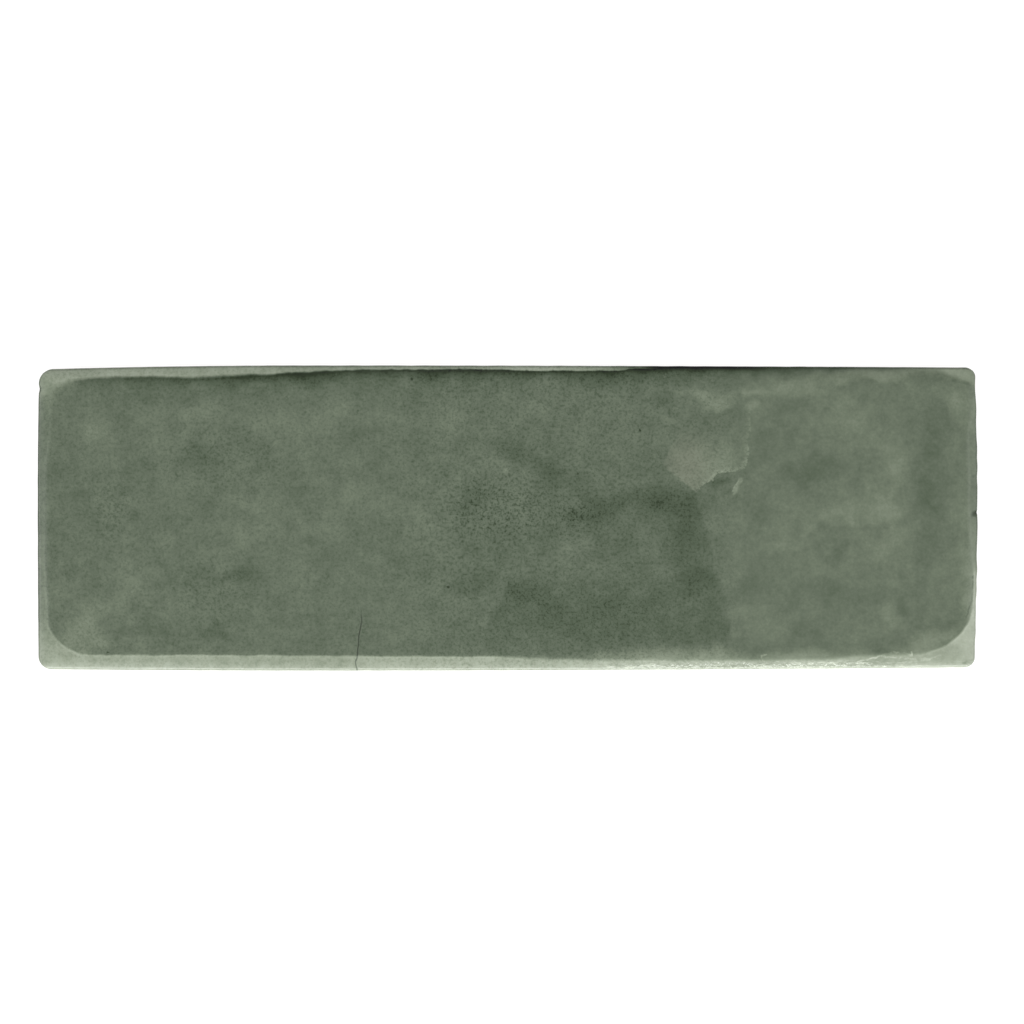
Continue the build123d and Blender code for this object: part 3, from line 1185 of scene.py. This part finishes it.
@dataclass
class GlazedTile:
    """The tile as one piece: wavy glazed face, cushion rim, drafted sides and waffle back."""

    plan: TilePlan
    name: str = "glazed_wall_tile"
    crest_height: float = 8.3  # plane that the crests of the face stay under
    cell: float = 0.56  # mesh spacing on the face
    edge_cell: float = 0.013  # mesh spacing at the very edge
    nose_radius: float = 0.7  # where the side turns into the rim
    nose_height: float = 6.78  # where the side is widest
    nose_rise: float = 0.87  # share of the nose's radius that the rim starts above it
    rim_width: float = 3.3
    corner_blend: float = 3.0
    lip: float = 0.09  # how far the thick glaze stands above the thin
    lip_edge: Pair = (-0.35, 0.3)  # depths in the thick glaze between which it rises
    wave_depth: float = 0.22
    wave_length_x: float = 92.0
    wave_length_y: float = 54.0
    wave_skew_x: float = 0.35
    wave_skew_y: float = 0.20
    face_fall: float = 0.25
    ripple: float = 0.05
    ripple_size: float = 16.0
    side_draft: float = 0.25
    side_rows: int = 9
    side_tone: float = 112.0
    side_tone_share: float = 0.45  # how far each row of the side nears that tone
    side_rough_share: float = 0.25  # how much of the edge's lumps and painted glints each row of the side keeps
    side_relief: float = 0.06
    side_relief_size: float = 5.0
    side_relief_rise: float = 2.5  # its size up the side
    side_relief_ends: Pair = (1.0, 1.5)  # heights over which it fades, low and high
    back_radius: float = 0.4
    back_rows: int = 3
    pocket_length: float = 16.8
    pocket_width: float = 17.0
    pocket_depth: float = 0.8
    pocket_radius: float = 2.0
    pocket_draft: float = 30.0
    pocket_lip: float = 0.12
    pocket_lip_slope: float = 0.3
    pocket_corner_parts: int = 5
    land_width: float = 2.6
    pocket_columns: int = 10
    pocket_rows: int = 3
    crack_line: Stops = Stops((
        (-32.5, -32.1), (-30.8, -32.3), (-29.3, -31.9), (-26.1, -31.65), (-20.8, -31.0), (-18.6, -31.2),
    ))
    rough_edge: Stops = Stops(((10.0, 0.0), (34.0, 0.8), (50.0, 1.0), (74.0, 1.0), (84.0, 0.4), (92.0, 0.2)))
    glint_band: Pair = (2.0, 0.8)  # distances from that edge between which its painted glints thicken
    lump_height: float = 0.09
    lump_scales: Pair = (1.1, 0.5)  # along, across
    fine_lump_share: float = 0.6
    fine_lump_scales: Pair = (2.3, 1.6)
    lump_start: Pair = (0.1, 0.5)  # distances from the edge between which lumps rise
    lump_end: Pair = (3.0, 1.4)  # where they have sunk again, and where they start to
    grain_along: Stops = Stops((
        (-96.0, 0.45), (-30.0, 0.45), (-12.0, 0.7), (22.0, 0.7), (42.0, 0.5), (54.0, 0.1),
    ))
    dark_grain: float = 0.012  # grain that each level of darkness adds
    dark_grain_from: float = 6.0
    dark_grain_depth: float = 3.0  # depth in the thick glaze at which it is complete
    side_waver: float = 0.04  # how far the edge wanders from the outline
    right_waver: float = 0.16
    right_facing: float = 0.7  # the right edge is where the outline faces right by more than this
    waver_size: float = 3.2
    nick_depth: float = 0.004  # for each level of a nick's tone
    wander_fade: float = 2.5  # distance from the edge, in and down, at which the wander has gone
    glaze: GlazeField = field(init=False)
    depth: GlazeDepth = field(init=False)
    patch: GlazePatch = field(default_factory=GlazePatch)

    def __post_init__(self) -> None:
        """Lays the glaze out on the plan."""
        self.glaze = GlazeField(self.plan)
        self.depth = GlazeDepth(self.glaze)

    def grid_places(self, half: float) -> list[float]:
        """Places of the mesh's lines across one direction, closer together towards both edges.

        Args:
            half: Half the tile's size in that direction.

        Returns:
            Places from -half to half.
        """
        inward = [0.0]
        while inward[-1] < half:
            step = min(self.cell, self.edge_cell * (2 * len(inward) - 1))
            inward.append(inward[-1] + step)
        outer = [distance * half / inward[-1] - half for distance in inward]
        return outer + [-place for place in reversed(outer[:-1])]

    def face_height(self, x: float, y: float) -> float:
        """Height of the wavy face.

        Args:
            x: Place along the tile.
            y: Place across the tile.

        Returns:
            Height over the back at (x, y).
        """
        turns_x = x / self.wave_length_x + self.wave_skew_x * y / self.wave_length_y
        turns_y = y / self.wave_length_y - self.wave_skew_y * x / self.wave_length_x
        crest = (math.cos(2 * math.pi * turns_x) + math.cos(2 * math.pi * turns_y)) / 2
        towards_top_right = (x / self.plan.length + y / self.plan.width + 1) / 2
        ripple = self.ripple * (meander(x, y, self.ripple_size, Layer.RIPPLE) - 0.5)
        fall = self.wave_depth * (1 - crest) / 2 + self.face_fall * towards_top_right
        return self.crest_height - fall + ripple

    def surface_height(self, x: float, y: float, inward: float) -> float:
        """Height of the glazed surface.

        Args:
            x: Place along the tile.
            y: Place across the tile.
            inward: Distance from the widest outline.

        Returns:
            Height over the back.
        """
        face = self.face_height(x, y)
        face += self.lip * smooth_step(*self.lip_edge, self.glaze.depth(x, y)) - self.lip
        # The rim is a parabola that the rounded nose runs into at the same slope
        drop = face - self.nose_height - self.nose_radius * self.nose_rise
        slope = 2 * drop / self.rim_width
        tilt = math.atan(slope)
        start = self.nose_radius * (1 - math.sin(tilt))
        start_height = self.nose_height + self.nose_radius * math.cos(tilt)
        if inward < start:
            return self.nose_height + math.sqrt(max(inward * (2 * self.nose_radius - inward), 0.0))
        share = min((inward - start) / self.rim_width, 1.0)
        height = face - (face - start_height) * (1 - share) ** 2
        return height + self.roughness(x, y, inward)

    def roughness(self, x: float, y: float, inward: float) -> float:
        """Small lumps along the bottom edge, where the glaze ran thin and fired rough.

        Args:
            x: Place along the tile.
            y: Place across the tile.
            inward: Distance from the widest outline.

        Returns:
            Height that they add.
        """
        bottom = self.plan.sides(x, y)[2]
        if bottom > self.lump_end[0]:
            return 0.0
        along, across = self.lump_scales
        lumps = meander(x * along, y * across, 1.0, Layer.LUMPS)
        along, across = self.fine_lump_scales
        lumps += self.fine_lump_share * meander(x * along, y * across, 1.0, Layer.FINE_LUMPS)
        band = smooth_step(*self.lump_start, inward) * smooth_step(*self.lump_end, inward)
        return self.lump_height * self.rough_edge.at(x) * lumps * band

    def lay_face(self, mesh: bmesh.types.BMesh) -> None:
        """Makes the glazed face and rim from a grid, out to where the sides are widest.

        Args:
            mesh: The tile's mesh, still empty.
        """
        places_x = self.grid_places(self.plan.length / 2)
        places_y = self.grid_places(self.plan.width / 2)
        columns = len(places_x) - 1
        rows = len(places_y) - 1
        marks = {mark: mesh.verts.layers.float.new(mark.value) for mark in Mark}
        brink = mesh.verts.layers.float_vector.new("brink")
        outward = mesh.verts.layers.float_vector.new("outward")
        wander = mesh.verts.layers.float.new("wander")
        bmesh.ops.create_grid(mesh, x_segments=columns, y_segments=rows, size=1.0)
        for vert in mesh.verts:
            flat_x = places_x[round((vert.co.x + 1) / 2 * columns)]
            flat_y = places_y[round((vert.co.y + 1) / 2 * rows)]
            place, out = self.plan.place(flat_x, flat_y)
            edge_x = self.plan.length / 2 - abs(flat_x)
            edge_y = self.plan.width / 2 - abs(flat_y)
            inward = self.soft_least(edge_x, edge_y)
            vert[brink] = place
            vert[outward] = out
            vert[wander] = self.edge_waver(place, out)
            place += out * vert[wander] * smooth_step(self.wander_fade, 0.0, inward)
            vert.co = (place.x, place.y, self.surface_height(place.x, place.y, inward))
            for mark, value in self.read_marks(place.x, place.y).items():
                vert[marks[mark]] = value

    def edge_waver(self, place: Vector, out: Vector) -> float:
        """How far the edge wanders out from the outline.

        Args:
            place: Point on the outline.
            out: Direction straight out of it.

        Returns:
            The distance, negative where the edge is drawn in.
        """
        reach = self.right_waver if out.x > self.right_facing else self.side_waver
        dent = sum(nick.at(place.x, place.y) for nick in self.glaze.nicks)
        return reach * meander(place.x, place.y, self.waver_size, Layer.EDGE) + self.nick_depth * dent

    def soft_least(self, first: float, second: float) -> float:
        """The lesser of two distances, rounded off where they are alike.

        Args:
            first: One distance.
            second: The other.

        Returns:
            The rounded distance.
        """
        least = min(first, second)
        most = max(first, second)
        if least <= 0.0:
            return 0.0
        return least / (1 + (least / most) ** self.corner_blend) ** (1 / self.corner_blend)

    def read_marks(self, x: float, y: float) -> dict[Mark, float]:
        """The fields that the finishes read, at one point of the face.

        Args:
            x: Place along the tile.
            y: Place across the tile.

        Returns:
            The value of each field.
        """
        pooling = self.depth.at(x, y)
        inside = self.glaze.depth(x, y)
        grain = self.grain_along.at(x) + sum(place.at(x, y) for place in GRAINY_PLACES)
        thick = smooth_step(0.0, self.dark_grain_depth, inside)
        grain += self.dark_grain * thick * max(-pooling - self.dark_grain_from, 0.0)
        painted_glints = smooth_step(*self.glint_band, self.plan.sides(x, y)[2])
        return {
            Mark.POOLING: pooling,
            Mark.FIELD_DEPTH: inside,
            Mark.FIELD_SOFT: self.glaze.blended(x, y, RimTrait.SOFTNESS),
            Mark.RIM_TONE: self.glaze.tone(x, y),
            Mark.PATCH_EDGE: self.patch.depth(x, y),
            Mark.PATCH_FILL: self.patch.fill(x, y),
            Mark.PATCH_GLOW: self.patch.glow(x, y),
            Mark.CRACK: x - self.crack_line.at(y),
            Mark.SPECKLE: grain,
            Mark.ROUGHEN: self.rough_edge.at(x) * painted_glints,
        }

    def draw_sides(self, mesh: bmesh.types.BMesh) -> list[bmesh.types.BMEdge]:
        """Draws the border of the face down the drafted sides and round the edge of the back.

        Args:
            mesh: The tile's mesh, with its face.

        Returns:
            The edges of the last row, flat on the back.
        """
        brink = mesh.verts.layers.float_vector["brink"]
        outward = mesh.verts.layers.float_vector["outward"]
        wander = mesh.verts.layers.float["wander"]
        tone = mesh.verts.layers.float[Mark.RIM_TONE.value]
        rough = mesh.verts.layers.float[Mark.ROUGHEN.value]
        nose = self.nose_height
        drop = (nose - self.back_radius) / self.side_rows
        rows = [(nose - drop * row, 0.0) for row in range(1, self.side_rows + 1)]
        for row in range(1, self.back_rows + 1):
            angle = math.pi / 2 * row / self.back_rows
            rows.append((self.back_radius * (1 - math.sin(angle)), self.back_radius * (1 - math.cos(angle))))
        edges = [edge for edge in mesh.edges if edge.is_boundary]
        for height, inset in rows:
            drawn = bmesh.ops.extrude_edge_only(mesh, edges=edges)["geom"]
            edges = [item for item in drawn if isinstance(item, bmesh.types.BMEdge)]
            draft = self.side_draft * (1 - height / nose)
            wander_share = smooth_step(nose - self.wander_fade, nose, height)
            back_fade, nose_fade = self.side_relief_ends
            relief_share = smooth_step(0.0, back_fade, height) * smooth_step(nose, nose - nose_fade, height)
            relief_layer = Vector((0, 0, height / self.side_relief_rise))
            for vert in (item for item in drawn if isinstance(item, bmesh.types.BMVert)):
                place = vert[brink] + vert[outward] * (vert[wander] * wander_share - draft - inset)
                relief = noise.noise(place / self.side_relief_size + relief_layer)
                relief *= self.side_relief * relief_share
                vert.co = place + vert[outward] * relief + Vector((0, 0, height))
                vert[tone] += (self.side_tone - vert[tone]) * self.side_tone_share
                vert[rough] *= self.side_rough_share
        return edges

    def press_pocket(self, mesh: bmesh.types.BMesh, x: float, y: float) -> list[bmesh.types.BMEdge]:
        """Presses one drafted pocket with soft lips into the back.

        Args:
            mesh: The tile's mesh.
            x: Middle of the pocket.
            y: Middle of the pocket.

        Returns:
            The edges of the pocket's mouth, flat on the back.
        """
        size = Matrix.Diagonal((self.pocket_length, self.pocket_width, 1.0, 1.0))
        corners = bmesh.ops.create_grid(
            mesh, x_segments=1, y_segments=1, size=0.5, matrix=Matrix.Translation((x, y, 0.0)) @ size
        )["verts"]
        rounded = bmesh.ops.bevel(
            mesh, geom=corners, offset=self.pocket_radius, offset_type="OFFSET",
            segments=self.pocket_corner_parts, profile=0.5, affect="VERTICES", material=-1,
        )
        floor = rounded["verts"][0].link_faces[0]
        mouth = list(floor.edges)
        wall = self.pocket_depth * math.tan(math.radians(self.pocket_draft))
        lip = self.pocket_lip
        middle = Vector((x, y, 0.0))
        rows = (
            (self.pocket_lip_slope * lip, lip), (self.pocket_depth - lip, wall), (self.pocket_depth, 2 * lip),
        )
        for rise, inset in rows:
            floor = bmesh.ops.extrude_discrete_faces(mesh, faces=[floor])["faces"][0]
            share = Vector((1 - 2 * inset / self.pocket_length, 1 - 2 * inset / self.pocket_width, 1.0))
            for vert in floor.verts:
                vert.co = middle + (vert.co - middle) * share
                vert.co.z = rise
        return mouth

    def close_back(self, mesh: bmesh.types.BMesh, border: list[bmesh.types.BMEdge]) -> None:
        """Presses the waffle and fills the flat lands between its pockets and the border.

        Args:
            mesh: The tile's mesh, open at the back.
            border: The edges round that opening.
        """
        loops = list(border)
        for column in range(self.pocket_columns):
            x = (column - (self.pocket_columns - 1) / 2) * (self.pocket_length + self.land_width)
            for row in range(self.pocket_rows):
                y = (row - (self.pocket_rows - 1) / 2) * (self.pocket_width + self.land_width)
                loops += self.press_pocket(mesh, x, y)
        filled = bmesh.ops.triangle_fill(mesh, use_beauty=True, use_dissolve=False, edges=loops)["geom"]
        for face in mesh.faces:
            face.smooth = True
        for item in filled:
            if isinstance(item, bmesh.types.BMFace):
                item.smooth = False

    def build(self, finishes: tuple[bpy.types.Material, bpy.types.Material]) -> bpy.types.Object:
        """Builds and dresses the tile.

        Args:
            finishes: The glaze, and the bare clay of the back.

        Returns:
            The tile's object, at the origin.
        """
        mesh = bmesh.new()
        self.lay_face(mesh)
        border = self.draw_sides(mesh)
        glazed = set(mesh.faces)
        self.close_back(mesh, border)
        for face in mesh.faces:
            face.material_index = 0 if face in glazed else 1
        bmesh.ops.recalc_face_normals(mesh, faces=mesh.faces)
        for layer in ("brink", "outward"):
            mesh.verts.layers.float_vector.remove(mesh.verts.layers.float_vector[layer])
        mesh.verts.layers.float.remove(mesh.verts.layers.float["wander"])
        bmesh.ops.scale(mesh, vec=(MM, MM, MM), verts=mesh.verts)
        data = bpy.data.meshes.new(self.name)
        mesh.to_mesh(data)
        mesh.free()
        for finish in finishes:
            data.materials.append(finish)
        tile = bpy.data.objects.new(self.name, data)
        bpy.context.scene.collection.objects.link(tile)
        return tile


@dataclass
class Studio:
    """A pale floor, soft light from the near side and a camera straight above."""

    top: float  # height of the tile's face, metres
    frame_width: float = 0.21766
    frame_centre: Pair = (0.00094, 0.00128)
    lens: float = 250.0
    floor_radius: float = 4.0
    floor_drop: float = 0.00005
    floor_tone: float = 0.3
    floor_glow: float = 0.88
    floor_roughness: float = 0.9
    floor_parts: int = 96
    sky: tuple[Pair, ...] = (
        (0.0, 0.22), (0.32, 0.26), (0.5, 1.0), (0.65, 1.32), (0.8, 1.1), (0.93, 0.37), (1.0, 0.35),
    )  # brightness by height: a soft ring of light half way up
    sky_slant: float = 0.95  # how much brighter the near side is than the middle
    key_power: float = 4.5
    key_size: Pair = (0.8, 0.34)
    key_place: Triple = (0.06, -0.78, 0.52)
    side_share: float = 0.2  # power of the side light, as a share of the key light's
    side_size: Pair = (0.5, 0.4)
    side_place: Triple = (-0.9, -0.1, 0.5)
    furthest: float = 100.0  # how far the camera sees, metres

    def lay_floor(self) -> bpy.types.Object:
        """Lays a round white floor that glows a little, as a light table does.

        Returns:
            The floor's object.
        """
        mesh = bmesh.new()
        bmesh.ops.create_circle(mesh, cap_ends=True, segments=self.floor_parts, radius=self.floor_radius)
        bmesh.ops.translate(mesh, vec=(0, 0, -self.floor_drop), verts=mesh.verts)
        data = bpy.data.meshes.new("floor")
        mesh.to_mesh(data)
        mesh.free()
        sheet = NodeSheet.start("floor")
        shader = sheet.shader
        shader.inputs["Base Color"].default_value = (*(3 * (self.floor_tone,)), 1.0)
        shader.inputs["Roughness"].default_value = self.floor_roughness
        shader.inputs["Specular IOR Level"].default_value = 0.0
        shader.inputs["Emission Color"].default_value = (1.0, 1.0, 1.0, 1.0)
        shader.inputs["Emission Strength"].default_value = self.floor_glow
        data.materials.append(sheet.material)
        floor = bpy.data.objects.new("floor", data)
        bpy.context.scene.collection.objects.link(floor)
        return floor

    def light_sky(self) -> None:
        """A soft surround with a ring of light half way up, brighter on the near side."""
        world = bpy.data.worlds.new("surround")
        bpy.context.scene.world = world
        world.use_nodes = True
        nodes = world.node_tree.nodes
        links = world.node_tree.links
        place = nodes.new("ShaderNodeTexCoord")
        axes = nodes.new("ShaderNodeSeparateXYZ")
        ramp = nodes.new("ShaderNodeValToRGB")
        brightest = max(brightness for _, brightness in self.sky)
        for index, (height, brightness) in enumerate(self.sky):
            elements = ramp.color_ramp.elements
            element = elements[index] if index < 2 else elements.new(height)
            element.position = height
            element.color = (*(3 * (brightness / brightest,)), 1.0)
        slant = nodes.new("ShaderNodeMath")
        slant.operation = "MULTIPLY_ADD"
        slant.inputs[1].default_value = -self.sky_slant * brightest
        slant.inputs[2].default_value = brightest
        strength = nodes.new("ShaderNodeMath")
        strength.operation = "MULTIPLY"
        links.new(place.outputs["Generated"], axes.inputs[0])
        links.new(axes.outputs[1], slant.inputs[0])
        links.new(axes.outputs[2], ramp.inputs[0])
        links.new(ramp.outputs[0], strength.inputs[0])
        links.new(slant.outputs[0], strength.inputs[1])
        links.new(strength.outputs[0], nodes["Background"].inputs["Strength"])
        nodes["Background"].inputs["Color"].default_value = (1.0, 1.0, 1.0, 1.0)

    def hang_softbox(self, name: str, place: Vector, size: Pair, power: float) -> None:
        """Hangs a rectangular softbox that faces the tile.

        Args:
            name: What to call the light.
            place: Where it hangs, metres.
            size: Its width and height, metres.
            power: Its power, watts.
        """
        data = bpy.data.lights.new(name, "AREA")
        data.shape = "RECTANGLE"
        data.size, data.size_y = size
        data.energy = power
        light = bpy.data.objects.new(name, data)
        light.location = place
        light.rotation_euler = (-place).to_track_quat("-Z", "Y").to_euler()
        bpy.context.scene.collection.objects.link(light)

    def set_camera(self) -> None:
        """Looks straight down on the tile through a long lens."""
        data = bpy.data.cameras.new("camera")
        data.lens = self.lens
        data.clip_end = self.furthest
        distance = self.frame_width * self.lens / data.sensor_width
        camera = bpy.data.objects.new("camera", data)
        camera.location = (*self.frame_centre, self.top + distance)
        bpy.context.scene.collection.objects.link(camera)
        bpy.context.scene.camera = camera

    def set_up(self) -> None:
        """Lays the floor, hangs the lights and sets the camera."""
        self.lay_floor()
        self.light_sky()
        self.hang_softbox("key", Vector(self.key_place), self.key_size, self.key_power)
        self.hang_softbox("side", Vector(self.side_place), self.side_size, self.key_power * self.side_share)
        self.set_camera()
        bpy.context.scene.view_settings.view_transform = "Standard"


def main() -> None:
    """Loads the frame, dresses the tile and sets up the studio."""
    logging.basicConfig(level=logging.INFO, format="%(name)s: %(message)s")
    noise.seed_set(NOISE_SEED)
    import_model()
    low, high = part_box(CAD_NODE)
    size = (high - low) / MM
    biscuit = BiscuitFinish()
    finishes = (GlazeFinish(biscuit).make(), biscuit.make())
    tile = GlazedTile(TilePlan(size.x, size.y)).build(finishes)
    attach(tile, CAD_BODY)
    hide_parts(CAD_NODE)
    LOG.info("%s: %d faces, %d points", tile.name, len(tile.data.polygons), len(tile.data.vertices))
    Studio(high.z).set_up()


if __name__ == "__main__":
    main()
